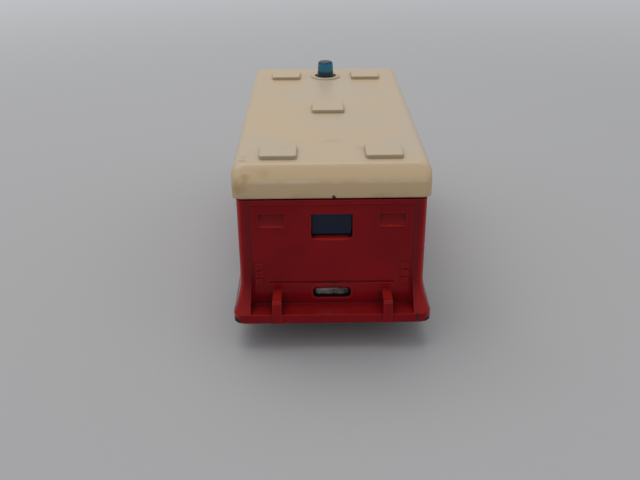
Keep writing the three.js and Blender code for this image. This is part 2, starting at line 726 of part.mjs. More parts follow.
// The deck's rim, studs and holes, the webs over the axles, and the post that is riveted through the base.
function bodyInsides(body) {
  const rim = halfRoof - ROOF_THICKNESS - FIT_GAP;
  const rimSection = (z, inset) => ({
    z,
    half: rim - inset,
    rear: roofRear + ROOF_THICKNESS + FIT_GAP + inset,
    front: roofFront - ROOF_THICKNESS - FIT_GAP - inset,
    rearRound: PILLAR_ROUND,
  });
  const spigotTop = ledge + SPIGOT_HEIGHT;
  const spigot = loft([rimSection(ledge - BITE, 0), rimSection(spigotTop, 0)]).subtract(
    loft([rimSection(ledge, SPIGOT_WALL), rimSection(spigotTop + OVERCUT, SPIGOT_WALL)]),
  );
  let inside = join(body, spigot);
  const webFoot = axleZ + axleRadius + FIT_GAP;
  for (const [axleY, top] of [
    [frontAxleY, hoodTopAt(frontAxleY) - WALL / 2],
    [rearAxleY, ledge - DECK / 2],
  ]) {
    inside = join(inside, block([-saddleOuter, saddleOuter], about(axleY, WEB_THICKNESS), [webFoot, top]));
  }
  const spineHalf = SPINE_WIDTH / 2 + FIT_GAP;
  const spinePath = [rearAxleY - WEB_THICKNESS, rearAxleY + WEB_THICKNESS];
  inside = cut(inside, block([-spineHalf, spineHalf], spinePath, [trayBottom - FIT_GAP, deckBottom]));
  for (const [x, y] of studPlaces) {
    const headTop = trayBottom - FIT_GAP;
    inside = join(
      inside,
      rodZ(STUD_DIAMETER / 2, [headTop - STUD_HEAD, ledge - DECK / 2], x, y, SMALL_SIDES),
      rodZ(STUD_HEAD_DIAMETER / 2, [headTop - STUD_HEAD, headTop], x, y, SMALL_SIDES),
    );
  }
  const rivetTop = baseBottom + RIVET_HEAD;
  const rivetRadius = RIVET_DIAMETER / 2;
  const headRadius = RIVET_HEAD_DIAMETER / 2;
  const rivet = [
    [0, baseBottom],
    [headRadius - RIVET_HEAD / 2, baseBottom],
    [headRadius, baseBottom + RIVET_HEAD / 2],
    [headRadius, rivetTop],
    [rivetRadius, rivetTop],
    [rivetRadius, hoodTopAt(rivetY) - WALL / 2],
    [0, hoodTopAt(rivetY) - WALL / 2],
  ];
  inside = join(inside, turned(rivet, 0, rivetY));
  const deckSpan = [deckBottom - OVERCUT, ledge + OVERCUT];
  for (const [x, y] of pegPlaces) {
    inside = cut(inside, rodZ(PEG_DIAMETER / 2 + FIT_GAP, deckSpan, x, y, SMALL_SIDES));
  }
  return cut(inside, rodZ(BEACON_FOOT_DIAMETER / 2 + FIT_GAP, deckSpan, 0, beaconY));
}

function bodyCasting() {
  const outside = join(lowerBody(), upperBody(), hood(0));
  const shell = cut(outside, bodyInside());
  return bodyInsides(frontDetails(sideDetails(rearDetails(shell))));
}

// The roof's outline at a height: it draws in along the slope over the rear wall, and elsewhere by the tuck.
function roofSection(z, inset, corner, tuck = 0) {
  const slopeStart = roofBottom + ROOF_WALL_HEIGHT;
  const climb = Math.max(z - slopeStart, 0) / (roofTop - slopeStart);
  return {
    z,
    half: halfRoof - inset - tuck,
    rear: roofRear + inset + climb * ROOF_SLOPE,
    front: roofFront - inset - tuck,
    rearRound: corner,
  };
}

function roofOutside() {
  const slopeStart = roofBottom + ROOF_WALL_HEIGHT;
  const edge = topEdge(roofTop, ROOF_EDGE).map(([z, tuck]) => roofSection(z, 0, ROOF_CORNER, tuck));
  edge.at(-1).rear += ROOF_SOFT;
  return loft([
    roofSection(roofBottom, 0, ROOF_CORNER),
    roofSection(slopeStart - ROOF_SOFT, 0, ROOF_CORNER),
    roofSection(slopeStart + ROOF_SOFT, 0, ROOF_CORNER),
    ...edge,
  ]);
}

function roofHollow() {
  const slopeStart = roofBottom + ROOF_WALL_HEIGHT;
  const levels = [roofBottom - OVERCUT, slopeStart, roofInside];
  return loft(levels.map((z) => roofSection(z, ROOF_THICKNESS, ROOF_INNER_CORNER)));
}

function hatch(x, rear) {
  const section = (z, inset) => ({
    z,
    half: HATCH_WIDTH / 2 - inset,
    rear: rear + inset,
    front: rear + HATCH_LENGTH - inset,
    rearRound: HATCH_ROUND,
    middle: x,
  });
  const edge = topEdge(roofTop + HATCH_HEIGHT, HATCH_EDGE);
  return loft([section(roofTop - BITE, 0), ...edge.map(([z, inset]) => section(z, inset))]);
}

function roofCap() {
  let roof = roofOutside().subtract(roofHollow());
  const firstRow = roofRear + HATCH_REAR;
  const thirdRow = roofFront - HATCH_FRONT - HATCH_LENGTH;
  const secondRow = (firstRow + thirdRow) / 2;
  for (const side of [-1, 1]) {
    const x = (side * HATCH_SPACING) / 2;
    roof = join(roof, hatch(x, firstRow), hatch(x, thirdRow));
  }
  const collarRadius = COLLAR_DIAMETER / 2;
  const collarTop = roofTop + COLLAR_HEIGHT;
  const collar = [
    [0, roofTop - BITE],
    [collarRadius, roofTop - BITE],
    [collarRadius, collarTop - COLLAR_EDGE],
    [collarRadius - COLLAR_EDGE, collarTop],
    [0, collarTop],
  ];
  roof = join(roof, hatch(0, secondRow), turned(collar, 0, beaconY, BEACON_SIDES));
  const headTop = deckBottom - FIT_GAP;
  for (const [x, y] of pegPlaces) {
    roof = join(
      roof,
      rodZ(PEG_DIAMETER / 2, [headTop - PEG_HEAD, roofInside + BITE], x, y, SMALL_SIDES),
      rodZ(PEG_HEAD_DIAMETER / 2, [headTop - PEG_HEAD, headTop], x, y, SMALL_SIDES),
    );
  }
  const bore = [roofInside - OVERCUT, collarTop + OVERCUT];
  return cut(roof, rodZ(BEACON_FOOT_DIAMETER / 2 + BEACON_GAP, bore, 0, beaconY, BEACON_SIDES));
}

function beacon() {
  const stem = BEACON_DIAMETER / 2;
  const tip = BEACON_TOP_DIAMETER / 2;
  const foot = BEACON_FOOT_DIAMETER / 2;
  const footLow = roofTop + COLLAR_HEIGHT - COLLAR_EDGE;
  const footTop = footLow + BEACON_FOOT;
  const top = roofTop + BEACON_HEIGHT;
  const profile = new THREE.Path();
  profile.moveTo(0, trayTop - BITE);
  profile.lineTo(stem, trayTop - BITE);
  profile.lineTo(stem, roofInside);
  profile.lineTo(foot, roofInside + ROOF_THICKNESS / 2);
  profile.lineTo(foot, footLow);
  profile.quadraticCurveTo(stem, footLow + BEACON_FOOT / 3, stem, footTop);
  profile.lineTo(tip, top - BEACON_ROUND);
  profile.quadraticCurveTo(tip, top, tip - BEACON_ROUND, top);
  profile.lineTo(0, top);
  const points = profile.getPoints(CORNER_STEPS).map(({ x, y }) => [x, y]);
  return turned(points, 0, beaconY, BEACON_SIDES);
}

// A tray under the deck with panes that hang down behind the openings, and the beacon standing on it.
// The rear pane hangs on a springy strip, so that its boss can snap into the rear window.
function windowUnit() {
  const sideFace = halfInside - FIT_GAP;
  const screenFace = (z) => windscreenAt(z) - WALL - FIT_GAP;
  const screenLow = windscreen.bottom - PANE_LAP;
  const screen = polygon([
    [screenFace(screenLow) - PANE, screenLow],
    [screenFace(screenLow), screenLow],
    [screenFace(trayTop), trayTop],
    [screenFace(trayTop) - PANE, trayTop],
  ]);
  const screenHalf = windscreen.outer + PANE_LAP / 2;
  const rearFace = rearInside + FIT_GAP;
  const rearHalf = rearWindow.half + PANE_LAP;
  const boss = rectangle(
    [BOSS_GAP - rearWindow.half, rearWindow.half - BOSS_GAP],
    [rearWindow.bottom + BOSS_GAP, rearWindow.top - BOSS_GAP],
    WINDOW_ROUND / 2,
  );
  let unit = join(
    block([-sideFace, sideFace], [trayRear, screenFace(trayTop) - PANE / 2], [trayBottom, trayTop]),
    prismX(screen, [-screenHalf, screenHalf]),
    block([-SPINE_WIDTH / 2, SPINE_WIDTH / 2], [rearFace, trayRear + BITE], [trayBottom, trayTop]),
    block([-rearHalf, rearHalf], [rearFace, rearFace + PANE], [rearWindow.bottom - PANE_LAP, trayTop]),
    prismY(boss, [panelRear + BOSS_RECESS, rearFace + BITE]),
    beacon(),
  );
  for (const side of [-1, 1]) {
    const pane = block(
      [side * (sideFace - PANE), side * sideFace],
      [doorWindow.rear - PANE_LAP, doorWindow.front + PANE_LAP],
      [doorWindow.bottom - PANE_LAP, trayTop],
    );
    unit = join(unit, pane);
  }
  const holes = studPlaces.map(([x, y]) =>
    rodZ(STUD_DIAMETER / 2 + FIT_GAP, [trayBottom - OVERCUT, trayTop + OVERCUT], x, y, SMALL_SIDES),
  );
  return cut(unit, ...holes);
}

// The base's outline in plan, drawn in beside the wheels.
function baseOutline() {
  const wide = halfInside - FIT_GAP;
  const bay = wheelRadius + WHEEL_BAY_GAP;
  const right = [
    [wide, rearInside + FIT_GAP],
    [wide, rearAxleY - bay],
    [baseWaist, rearAxleY - bay],
    [baseWaist, rearAxleY + bay],
    [wide, rearAxleY + bay],
    [wide, frontAxleY - bay],
    [baseWaist, frontAxleY - bay],
    [baseWaist, bumperFront - BUMPER_THICKNESS / 2],
  ];
  const left = right.map(([x, y]) => [-x, y]).reverse();
  return polygon([...right, ...left]);
}

function grille() {
  const half = halfBody - GRILLE_INSET - FIT_GAP;
  const top = grilleTop - FIT_GAP;
  const face = nose - FIT_GAP - GRILLE_BAR_PROUD;
  const bumperTop = baseBottom + BUMPER_HEIGHT;
  const bumperHalf = halfBody - BUMPER_INSET;
  const bumper = rectangle([-bumperHalf, bumperHalf], [nose + FIT_GAP, bumperFront], BUMPER_ROUND);
  const plate = rectangle([-half, half], [baseBottom, top], WINDOW_ROUND);
  let front = join(
    prismY(plate, [face - GRILLE_PLATE, face]),
    prismZ(bumper, [baseBottom, bumperTop]),
    block([-half, half], [face - GRILLE_PLATE, bumperFront - BUMPER_THICKNESS / 2], [baseBottom, baseTop]),
  );
  const barPitch = (top - bumperTop) / (GRILLE_BARS + GRILLE_FOOT);
  for (let bar = 0; bar < GRILLE_BARS; bar += 1) {
    const low = bumperTop + barPitch * (bar + GRILLE_FOOT);
    const depth = [face - BITE, face + GRILLE_BAR_PROUD];
    front = join(front, block(about(0, GRILLE_BAR_WIDTH), depth, [low, low + GRILLE_BAR]));
  }
  const lampZ = (top + bumperTop) / 2;
  for (const side of [-1, 1]) {
    const x = (side * HEADLAMP_SPACING) / 2;
    const radius = HEADLAMP_DIAMETER / 2;
    const rim = rodY(radius, [face - BITE, face + HEADLAMP_PROUD], x, lampZ);
    const dish = new THREE.SphereGeometry(radius, ROUND_SIDES, ROUND_SIDES / 2);
    dish.translate(x, face + HEADLAMP_PROUD + radius - HEADLAMP_DISH, lampZ);
    front = join(front, rim.subtract(solid(dish)));
  }
  return front;
}

// Plain running gear cast on the underside: two rails, a propeller shaft and the rear axle's case.
function chassisRelief() {
  const reliefFront = frontAxleY - wheelRadius;
  const shaft = rodY(PROPSHAFT_DIAMETER / 2, [rearAxleY, reliefFront], 0, baseBottom, SMALL_SIDES);
  const rise = baseBottom + BASE_THICKNESS / 2;
  const above = block(
    about(0, BODY_WIDTH),
    [rearAxleY - OVERCUT, reliefFront + OVERCUT],
    [rise, rise + PROPSHAFT_DIAMETER],
  );
  const caseRadius = AXLE_CASE_DIAMETER / 2;
  const axleCase = [
    [0, baseBottom - AXLE_CASE_PROUD],
    [caseRadius - AXLE_CASE_PROUD, baseBottom - AXLE_CASE_PROUD],
    [caseRadius, baseBottom],
    [caseRadius, rise],
    [0, rise],
  ];
  let relief = join(shaft.subtract(above), turned(axleCase, 0, rearAxleY));
  for (const side of [-1, 1]) {
    const rail = block(
      about((side * RAIL_SPACING) / 2, RAIL_WIDTH),
      [rearInside + RAIL_REAR, reliefFront],
      [baseBottom - RAIL_PROUD, rise],
    );
    relief = join(relief, rail);
  }
  return relief;
}

function basePlate() {
  let base = join(prismZ(baseOutline(), [baseBottom, baseTop]), grille(), chassisRelief());
  for (const axleY of [frontAxleY, rearAxleY]) {
    for (const side of [-1, 1]) {
      const saddle = block(
        [side * saddleOuter, side * (saddleOuter - SADDLE_WIDTH)],
        about(axleY, SADDLE_LENGTH),
        [baseBottom, axleZ + axleRadius],
      );
      base = join(base, saddle);
    }
    const groove = block(
      [-baseWaist - OVERCUT, baseWaist + OVERCUT],
      about(axleY, AXLE_DIAMETER + RUN_GAP * 2),
      [baseTop, axleZ + axleRadius + OVERCUT],
    );
    base = cut(base, groove);
  }
  const tabHalf = slot.half - TAB_GAP;
  const tabRear = rearInside + FIT_GAP;
  const tab = rectangle([-tabHalf, tabHalf], [slot.bottom + TAB_GAP, slot.top - TAB_GAP], TAB_ROUND);
  const post = block(
    [-slot.half - SLOT_RIM, slot.half + SLOT_RIM],
    [tabRear, tabRear + TAB_POST],
    [baseBottom, slot.top + SLOT_RIM],
  );
  base = join(
    base,
    post,
    prismY(tab, [panelRear + TAB_RECESS, tabRear + TAB_POST / 2]),
    rodZ(RIVET_HEAD_DIAMETER / 2 + RIVET_COLLAR_WALL, [baseBottom, baseTop + RIVET_COLLAR], 0, rivetY),
  );
  const counterbore = [baseBottom - OVERCUT, baseBottom + RIVET_HEAD + FIT_GAP];
  return cut(
    base,
    rodZ(RIVET_HEAD_DIAMETER / 2 + FIT_GAP, counterbore, 0, rivetY),
    rodZ(RIVET_DIAMETER / 2 + FIT_GAP, [baseBottom, baseTop + RIVET_COLLAR + OVERCUT], 0, rivetY),
  );
}

// A wire along X whose ends are peened over into heads.
function axle() {
  const headRadius = AXLE_HEAD_DIAMETER / 2;
  const end = wheelOuter - HUB_DISH + FIT_GAP / 2 + AXLE_HEAD;
  const neck = end - AXLE_HEAD;
  const half = [
    [axleRadius, neck],
    [headRadius, neck],
    [headRadius, neck + AXLE_HEAD / 2],
    [headRadius / 2, end],
    [0, end],
  ];
  const mirrored = half.map(([radius, along]) => [radius, -along]).reverse();
  const points = [...mirrored, ...half].map(([radius, along]) => new THREE.Vector2(radius, along));
  const geometry = new THREE.LatheGeometry(points, ROUND_SIDES);
  return solid(geometry.rotateZ(-Math.PI / 2));
}

// A wheel about X, its outer face towards +X: a tyre and a dished disc with arches, hollow at the back.
function wheel() {
  const outer = WHEEL_WIDTH / 2;
  const flatToCorner = 1 / Math.cos(Math.PI / WHEEL_SIDES);
  const tread = wheelRadius * flatToCorner;
  const rim = tread - TYRE_WALL;
  const disc = outer - HUB_DISH;
  const bore = axleRadius + RUN_GAP;
  const discBack = disc - HUB_DISC;
  const cup = rim - TYRE_SHOULDER;
  const profile = [
    [bore, -outer - WHEEL_BOSS],
    [HUB_RADIUS, -outer - WHEEL_BOSS],
    [HUB_RADIUS, discBack],
    [cup, discBack],
    [rim, -outer],
    [tread - TYRE_SHOULDER, -outer],
    [tread, -outer + TYRE_SHOULDER],
    [tread, outer - TYRE_SHOULDER],
    [tread - TYRE_SHOULDER, outer],
    [rim, outer],
    [cup, disc],
    [bore, disc],
    [bore, -outer - WHEEL_BOSS],
  ];
  const points = profile.map(([radius, along]) => new THREE.Vector2(radius, along));
  const geometry = new THREE.LatheGeometry(points, WHEEL_SIDES, Math.PI / WHEEL_SIDES);
  let shape = solid(geometry.rotateZ(-Math.PI / 2));
  const crown = cup - ARCH_WIDTH / 2 - TYRE_SHOULDER / 2;
  const arch = new THREE.Shape();
  arch.moveTo(-ARCH_WIDTH / 4, HUB_RADIUS);
  arch.lineTo(ARCH_WIDTH / 4, HUB_RADIUS);
  arch.absarc(0, crown, ARCH_WIDTH / 2, 0, Math.PI);
  for (let turn = 0; turn < ARCH_COUNT; turn += 1) {
    const basis = new THREE.Matrix4().makeRotationX((turn * Math.PI * 2) / ARCH_COUNT);
    const stand = new THREE.Matrix4().makeBasis(
      new THREE.Vector3(0, 1, 0),
      new THREE.Vector3(0, 0, 1),
      new THREE.Vector3(1, 0, 0),
    );
    const pocket = prism(arch, ARCH_DEPTH + OVERCUT, stand).translate(disc - ARCH_DEPTH, 0, 0);
    shape = shape.subtract(solid(pocket.applyMatrix4(basis)));
  }
  return shape;
}

const RED_PAINT = { color: 0xc01a1e, roughness: 0.3, metalness: 0.1 };
const CREAM_PLASTIC = { color: 0xe6d9b8, roughness: 0.35, metalness: 0 };
const BLUE_TINT = { color: 0x2f86b0, roughness: 0.08, metalness: 0, transparent: true, opacity: 0.6 };
const BARE_METAL = { color: 0xa9a8a6, roughness: 0.45, metalness: 0.9 };
const STEEL_WIRE = { color: 0xb9b9ba, roughness: 0.3, metalness: 1 };
const BLACK_PLASTIC = { color: 0x161616, roughness: 0.45, metalness: 0 };

const truck = new THREE.Group();
truck.add(
  piece("body_casting", bodyCasting(), RED_PAINT),
  piece("roof_cap", roofCap(), CREAM_PLASTIC),
  piece("window_unit", windowUnit(), BLUE_TINT),
  piece("base_plate", basePlate(), BARE_METAL),
);
for (const [end, axleY] of [
  ["front", frontAxleY],
  ["rear", rearAxleY],
]) {
  const running = new THREE.Group();
  running.position.set(0, axleY, axleZ);
  running.add(piece(`${end}_axle`, axle(), STEEL_WIRE));
  for (const [hand, side] of [
    ["left", -1],
    ["right", 1],
  ]) {
    const mesh = piece(`wheel_${end}_${hand}`, wheel(), BLACK_PLASTIC);
    mesh.position.x = side * wheelMiddle;
    mesh.rotation.z = side < 0 ? Math.PI : 0;
    running.add(mesh);
  }
  truck.add(running);
}

export default truck;
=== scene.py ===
import math
from functools import reduce

import bmesh
import bpy
from mathutils import Matrix, Vector


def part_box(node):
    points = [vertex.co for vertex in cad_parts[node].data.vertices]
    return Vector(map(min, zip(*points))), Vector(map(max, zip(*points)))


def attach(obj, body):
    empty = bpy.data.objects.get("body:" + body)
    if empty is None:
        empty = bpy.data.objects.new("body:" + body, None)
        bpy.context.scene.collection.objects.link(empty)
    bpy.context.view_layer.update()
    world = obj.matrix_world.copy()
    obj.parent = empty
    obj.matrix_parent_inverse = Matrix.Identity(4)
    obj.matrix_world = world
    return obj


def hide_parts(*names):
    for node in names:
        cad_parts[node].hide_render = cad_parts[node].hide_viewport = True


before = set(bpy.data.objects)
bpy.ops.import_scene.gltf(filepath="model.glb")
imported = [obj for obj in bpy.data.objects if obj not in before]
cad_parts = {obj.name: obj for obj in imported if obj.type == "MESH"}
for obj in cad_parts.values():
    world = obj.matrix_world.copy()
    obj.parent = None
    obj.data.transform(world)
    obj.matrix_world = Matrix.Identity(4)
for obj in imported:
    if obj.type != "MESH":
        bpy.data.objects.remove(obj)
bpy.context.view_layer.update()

MM = 0.001


def box_mm(node):
    """A node's lowest and highest corners, in millimetres."""
    return [Vector(corner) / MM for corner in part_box(node)]


# The camera that took the photograph, in the truck's frame
IMAGE_WIDTH_PX = 640
FOCAL_PX = 767.8
SENSOR_MM = 36
CAMERA_AT_MM = Vector((-2.465, -130.406, 63.812))
CAMERA_YAW = 0.008
CAMERA_PITCH = 0.457
CAMERA_ROLL = -0.008

# The studio, its lengths in millimetres and the lamp's power in watts
LAMP_SIZE = 500
LAMP_POWER = 1.3
LAMP_AT = Vector((-80, 140, 500))  # aimed at the origin
AMBIENT_STRENGTH = 0.55
FLOOR_SIZE = 6000
FLOOR_NEAR = 100  # the floor is grey up to here
FLOOR_FAR = 650  # and pale from here on

# Places on the truck, in millimetres
ROOF_FOOT = 22.55
ROOF_CREASE = 24.95  # where the slope over the rear wall starts
ROOF_TOP = 26.91
SLOPE_MIDDLE = 11.8  # of the narrow slope on each side of the rear panel
PANEL_FACE = -33.05
VENT_MIDDLE = 8.5
VENT_LIP = 18.1
WINDOW_SILL = 16.1
SLOT_MIDDLE = 7.475
STEP_TOP = 5.55
STEP_CHIP = 12.2  # to the right
OVERRIDER_MIDDLE = 7.95
OVERRIDER_TOP = 7.8
BASE_FACE = 4.1
RIVET_AHEAD = 4.1  # of the front axle
RIVET_REACH = 2.4
roof_low, _ = box_mm("roof_cap")
body_low, body_high = box_mm("body_casting")
_, window_high = box_mm("window_unit")
axle_low, axle_high = box_mm("front_axle")

# Softening of the meshes, with widths in millimetres
SHARP_ANGLE = math.radians(30)
FLAT_ANGLE = math.radians(0.5)
WELD_REACH = 0.002
BEVEL_SEGMENTS = 3
LARGE_FACE_WEIGHT = 100
LEFT_SHARP = 0  # where the finish itself rounds the edges
ROOF_ROUNDING = 0.05
PANE_ROUNDING = 0.04
AXLE_ROUNDING = 0.08

# Colours, linear
PAINT_RED = (0.275, 0.005, 0.009)
PAINT_DEEP = (0.22, 0.004, 0.008)
PAINT_SHEEN = (1.0, 0.4, 0.4)
# painted shade for the hollows and the slopes beside the rear panel
PAINT_SHADE = (0.07, 0.013, 0.014)
# brighter red for painted light on what faces up
PAINT_LIT_TOP = (0.46, 0.03, 0.022)
# lighter red for painted highlights on corners, lips and edges, and for worn edges
PAINT_HIGHLIGHT = (0.50, 0.022, 0.016)
# dark metal for chips, and painted shade on the slot's walls
CHIP_AND_SHADE_DARK = (0.022, 0.020, 0.018)
CREAM = (0.57, 0.455, 0.318)
# yellowed cream, also painted warm light on the rear end
CREAM_AGED_AND_WARM_LIGHT = (0.645, 0.455, 0.255)
# painted highlight on the rear crease
CREAM_HIGHLIGHT = (0.80, 0.69, 0.50)
# grime, and painted shade in the hollows and on the hatches' sides
CREAM_GRIME_AND_SHADE = (0.36, 0.27, 0.17)
STAIN = (0.40, 0.245, 0.09)
NICK = (0.05, 0.03, 0.028)
# navy of the panes, also painted shade on the beacon's foot and top
PANE_NAVY_AND_SHADE = (0.003, 0.014, 0.055)
BEACON_TEAL = (0.02, 0.22, 0.40)
ZINC = (0.46, 0.44, 0.42)
ZINC_TARNISH = (0.24, 0.22, 0.20)
# dirt in the hollows, and painted shade on the rear tab
ZINC_DIRT_AND_SHADE = (0.07, 0.062, 0.055)
ZINC_BRIGHT = (0.68, 0.67, 0.65)
STEEL = (0.52, 0.51, 0.50)
STEEL_RUST = (0.16, 0.085, 0.05)
TYRE_BLACK = (0.016, 0.016, 0.017)
TYRE_DUST = (0.10, 0.092, 0.082)
FOIL = (0.64, 0.64, 0.63)
FLOOR_GREY = (0.475, 0.465, 0.46)
FLOOR_PALE = (0.90, 0.92, 0.94)
BACKDROP = (0.46, 0.485, 0.52)
AMBIENT = (0.86, 0.90, 0.95)


class Finish:
    """A material, with one call for each kind of node that the finishes use. Lengths are millimetres.

    A share is a number from 0 to 1, or the output of a node that gives one."""

    NODE_SAMPLES = 6
    NOISE_MIDDLE = 0.5

    def __init__(self, name, **sockets):
        self.material = bpy.data.materials.new(name)
        self.material.use_nodes = True
        self.tree = self.material.node_tree
        self.shader = self.tree.nodes["Principled BSDF"]
        self.set(**sockets)
        self.at = self.vector("MULTIPLY", self.node("TexCoord", "Object"), (1 / MM, 1 / MM, 1 / MM))
        self.x, self.y, self.z = self.parts(self.at)

    def feed(self, socket, value):
        if isinstance(value, bpy.types.NodeSocket):
            self.tree.links.new(value, socket)
        elif socket.type == "RGBA":
            socket.default_value = (*value, 1)
        else:
            socket.default_value = value

    def set(self, **sockets):
        for name, value in sockets.items():
            self.feed(self.shader.inputs[name.replace("_", " ")], value)

    def node(self, kind, output=0, **inputs):
        """One output of a new node. An underscore in an input's name stands for a space."""
        node = self.tree.nodes.new(f"ShaderNode{kind}")
        for name, value in inputs.items():
            self.feed(node.inputs[name.replace("_", " ")], value)
        return node.outputs[output]

    def operation(self, kind, name, values, output=0):
        """An output of a new node that has an operation, which is set first: it decides the outputs."""
        node = self.tree.nodes.new(f"ShaderNode{kind}")
        node.operation = name
        for socket, value in zip(node.inputs, values):
            self.feed(socket, value)
        return node.outputs[output]

    def math(self, name, *values):
        return self.operation("Math", name, values)

    def vector(self, name, *values, output=0):
        return self.operation("VectorMath", name, values, output)

    def parts(self, vector):
        return self.node("SeparateXYZ", Vector=vector).node.outputs

    def normal(self):
        return self.node("NewGeometry", "Normal")

    def metres(self, length):
        if isinstance(length, bpy.types.NodeSocket):
            return self.math("MULTIPLY", length, MM)
        return length * MM

    def across(self):
        """The distance to the truck's middle plane."""
        return self.math("ABSOLUTE", self.x)

    def off(self, value, place):
        """How far a coordinate lies from a place."""
        return self.math("ABSOLUTE", self.math("SUBTRACT", value, place))

    def noise(self, per_mm, detail, grit=0.5, stretch=None):
        at = self.vector("MULTIPLY", self.at, stretch) if stretch else self.at
        return self.node("TexNoise", "Fac", Vector=at, Scale=per_mm, Detail=detail, Roughness=grit)

    def ramp(self, value, start, end):
        """0 at the start and before it, 1 at the end and past it. The end may be the lower of the two."""
        falling = end < start
        bounds = {"From_Min": min(start, end), "From_Max": max(start, end)}
        result = self.node("MapRange", "Result", Value=value, To_Min=falling, To_Max=not falling, **bounds)
        result.node.interpolation_type = "SMOOTHSTEP"
        return result

    def patches(self, per_mm, detail, start, end, **noise):
        """Ragged patches: noise that is ramped from a start to an end."""
        return self.ramp(self.noise(per_mm, detail, **noise), start, end)

    def mix(self, share, first, second):
        node = self.tree.nodes.new("ShaderNodeMix")
        node.data_type = "RGBA"
        factor = next(socket for socket in node.inputs if socket.name == "Factor")
        colours = [socket for socket in node.inputs if socket.type == "RGBA"]
        self.feed(factor, share)
        for socket, value in zip(colours, (first, second)):
            self.feed(socket, value)
        return next(socket for socket in node.outputs if socket.type == "RGBA")

    def coats(self, ground, *coats):
        """A ground colour under coats that are laid on in turn, each a share and a colour."""
        for share, colour in coats:
            ground = self.mix(share, ground, colour)
        return ground

    def span(self, share, low, high):
        return self.math("MULTIPLY_ADD", share, high - low, low)

    def both(self, *shares):
        return reduce(lambda first, second: self.math("MULTIPLY", first, second), shares)

    def either(self, *shares):
        return reduce(lambda first, second: self.math("MAXIMUM", first, second), shares)

    def near(self, point, radius, core=0.75, ragged=0, grain=1.5, mirrored=False, squeeze=(1, 1, 1)):
        """1 within the core's share of a radius from a point and 0 past the radius, with a ragged edge.

        A squeeze over 1 makes the spot shorter along that axis, and one under 1 makes it longer."""
        at = self.node("CombineXYZ", X=self.across(), Y=self.y, Z=self.z) if mirrored else self.at
        offset = self.vector("MULTIPLY", self.vector("SUBTRACT", at, point), squeeze)
        away = self.vector("LENGTH", offset, output="Value")
        if ragged:
            wander = self.math("SUBTRACT", self.noise(grain, detail=4), self.NOISE_MIDDLE)
            away = self.math("ADD", away, self.math("MULTIPLY", wander, ragged))
        return self.ramp(away, radius, radius * core)

    def facing_up(self, start, end):
        upright = self.vector("DOT_PRODUCT", self.normal(), (0, 0, 1), output="Value")
        return self.ramp(upright, start, end)

    def upright_corners(self):
        """1 on what faces outwards halfway between sideways and lengthways, 0 on sides, ends and tops."""
        across, along, _ = self.parts(self.normal())
        outwards = self.math("MULTIPLY", across, self.math("SIGN", self.x))
        return self.both(outwards, self.math("ABSOLUTE", along), 2)

    def openness(self, reach):
        """1 in the open, falling in corners and recesses."""
        openness = self.node("AmbientOcclusion", "AO", Distance=reach * MM)
        openness.node.samples = self.NODE_SAMPLES
        return openness

    def rounded(self, radius):
        """A normal that turns smoothly round the edges."""
        normal = self.node("Bevel", Radius=self.metres(radius))
        normal.node.samples = self.NODE_SAMPLES
        return normal

    def edges(self, radius):
        """How far the surface turns within a radius: 0 on flat stretches."""
        alike = self.vector("DOT_PRODUCT", self.rounded(radius), self.normal(), output="Value")
        return self.math("SUBTRACT", 1, alike)

    def bump(self, height, depth, strength, **normal):
        return self.node("Bump", Height=height, Strength=strength, Distance=depth * MM, **normal)


def paint_shade(paint, openness, speckle):
    """Painted shade: darker in the hollows, less of it on what faces up, and on the slopes beside the rear
    panel.
    """
    hollows = paint.ramp(openness, start=0.92, end=0.2)
    least_on_top = paint.span(paint.facing_up(start=0.9, end=0.5), low=0.25, high=0.7)
    slopes = paint.both(
        paint.ramp(paint.off(paint.across(), SLOPE_MIDDLE), start=0.6, end=0.2),
        paint.ramp(paint.y, start=PANEL_FACE + 0.5, end=PANEL_FACE),
        paint.ramp(paint.z, start=STEP_TOP, end=STEP_TOP + 2),
        paint.span(speckle, low=0.5, high=1),
    )
    return paint.either(paint.both(hollows, least_on_top), paint.both(slopes, 0.85))


def paint_highlights_and_wear(paint, rubbed, open_air):
    """Painted highlights: lighter paint on upright corners, on the lips of vents and window and on the
    overriders, and on edges, which are also partly worn.
    """
    # painted highlight on the upright corners
    corner_highlights = paint.both(paint.ramp(paint.upright_corners(), start=0.5, end=0.95), open_air)
    vent_at = (VENT_MIDDLE, PANEL_FACE, VENT_LIP)
    vent_lips = paint.near(vent_at, radius=1.9, core=0.7, ragged=0.5, mirrored=True, squeeze=(1, 1, 8))
    sill_at = (0, PANEL_FACE, WINDOW_SILL)
    sill = paint.near(sill_at, radius=2.9, core=0.8, ragged=0.5, squeeze=(1, 1, 10))
    post_at = (OVERRIDER_MIDDLE, body_low.y + 2, OVERRIDER_TOP)
    post_tops = paint.near(post_at, radius=1.8, core=0.5, ragged=0.6, mirrored=True, squeeze=(1, 1, 3))
    lips = paint.either(vent_lips, sill, post_tops)
    return paint.either(paint.both(corner_highlights, 0.5), paint.both(rubbed, 0.8), paint.both(lips, 0.7))


def paint_chips_and_slot_shade(paint, rubbed):
    """Dark unpainted metal: chips on edges, the step's corners and a chip in its edge; and painted shade on
    the slot's walls.
    """
    chips = paint.both(rubbed, paint.patches(per_mm=0.55, detail=6, start=0.60, end=0.64))
    corner_at = (body_high.x - 0.45, body_low.y + 0.75, body_low.z + 0.1)
    corners = paint.near(corner_at, radius=1.0, ragged=1.2, mirrored=True)
    chip_at = (STEP_CHIP, body_low.y + 0.4, body_low.z + 1.2)
    chip = paint.near(chip_at, radius=0.9, core=0.3, ragged=0.9, grain=2.0, squeeze=(4, 1, 1))
    # the slot's walls are darkened: painted shade
    slot = paint.near((0, PANEL_FACE + 1, SLOT_MIDDLE), radius=3.6, core=0.85, squeeze=(1, 1, 2))
    slot_wall_shade = paint.both(slot, paint.ramp(paint.y, start=PANEL_FACE, end=PANEL_FACE + 0.2))
    return paint.either(chips, corners, chip, slot_wall_shade)


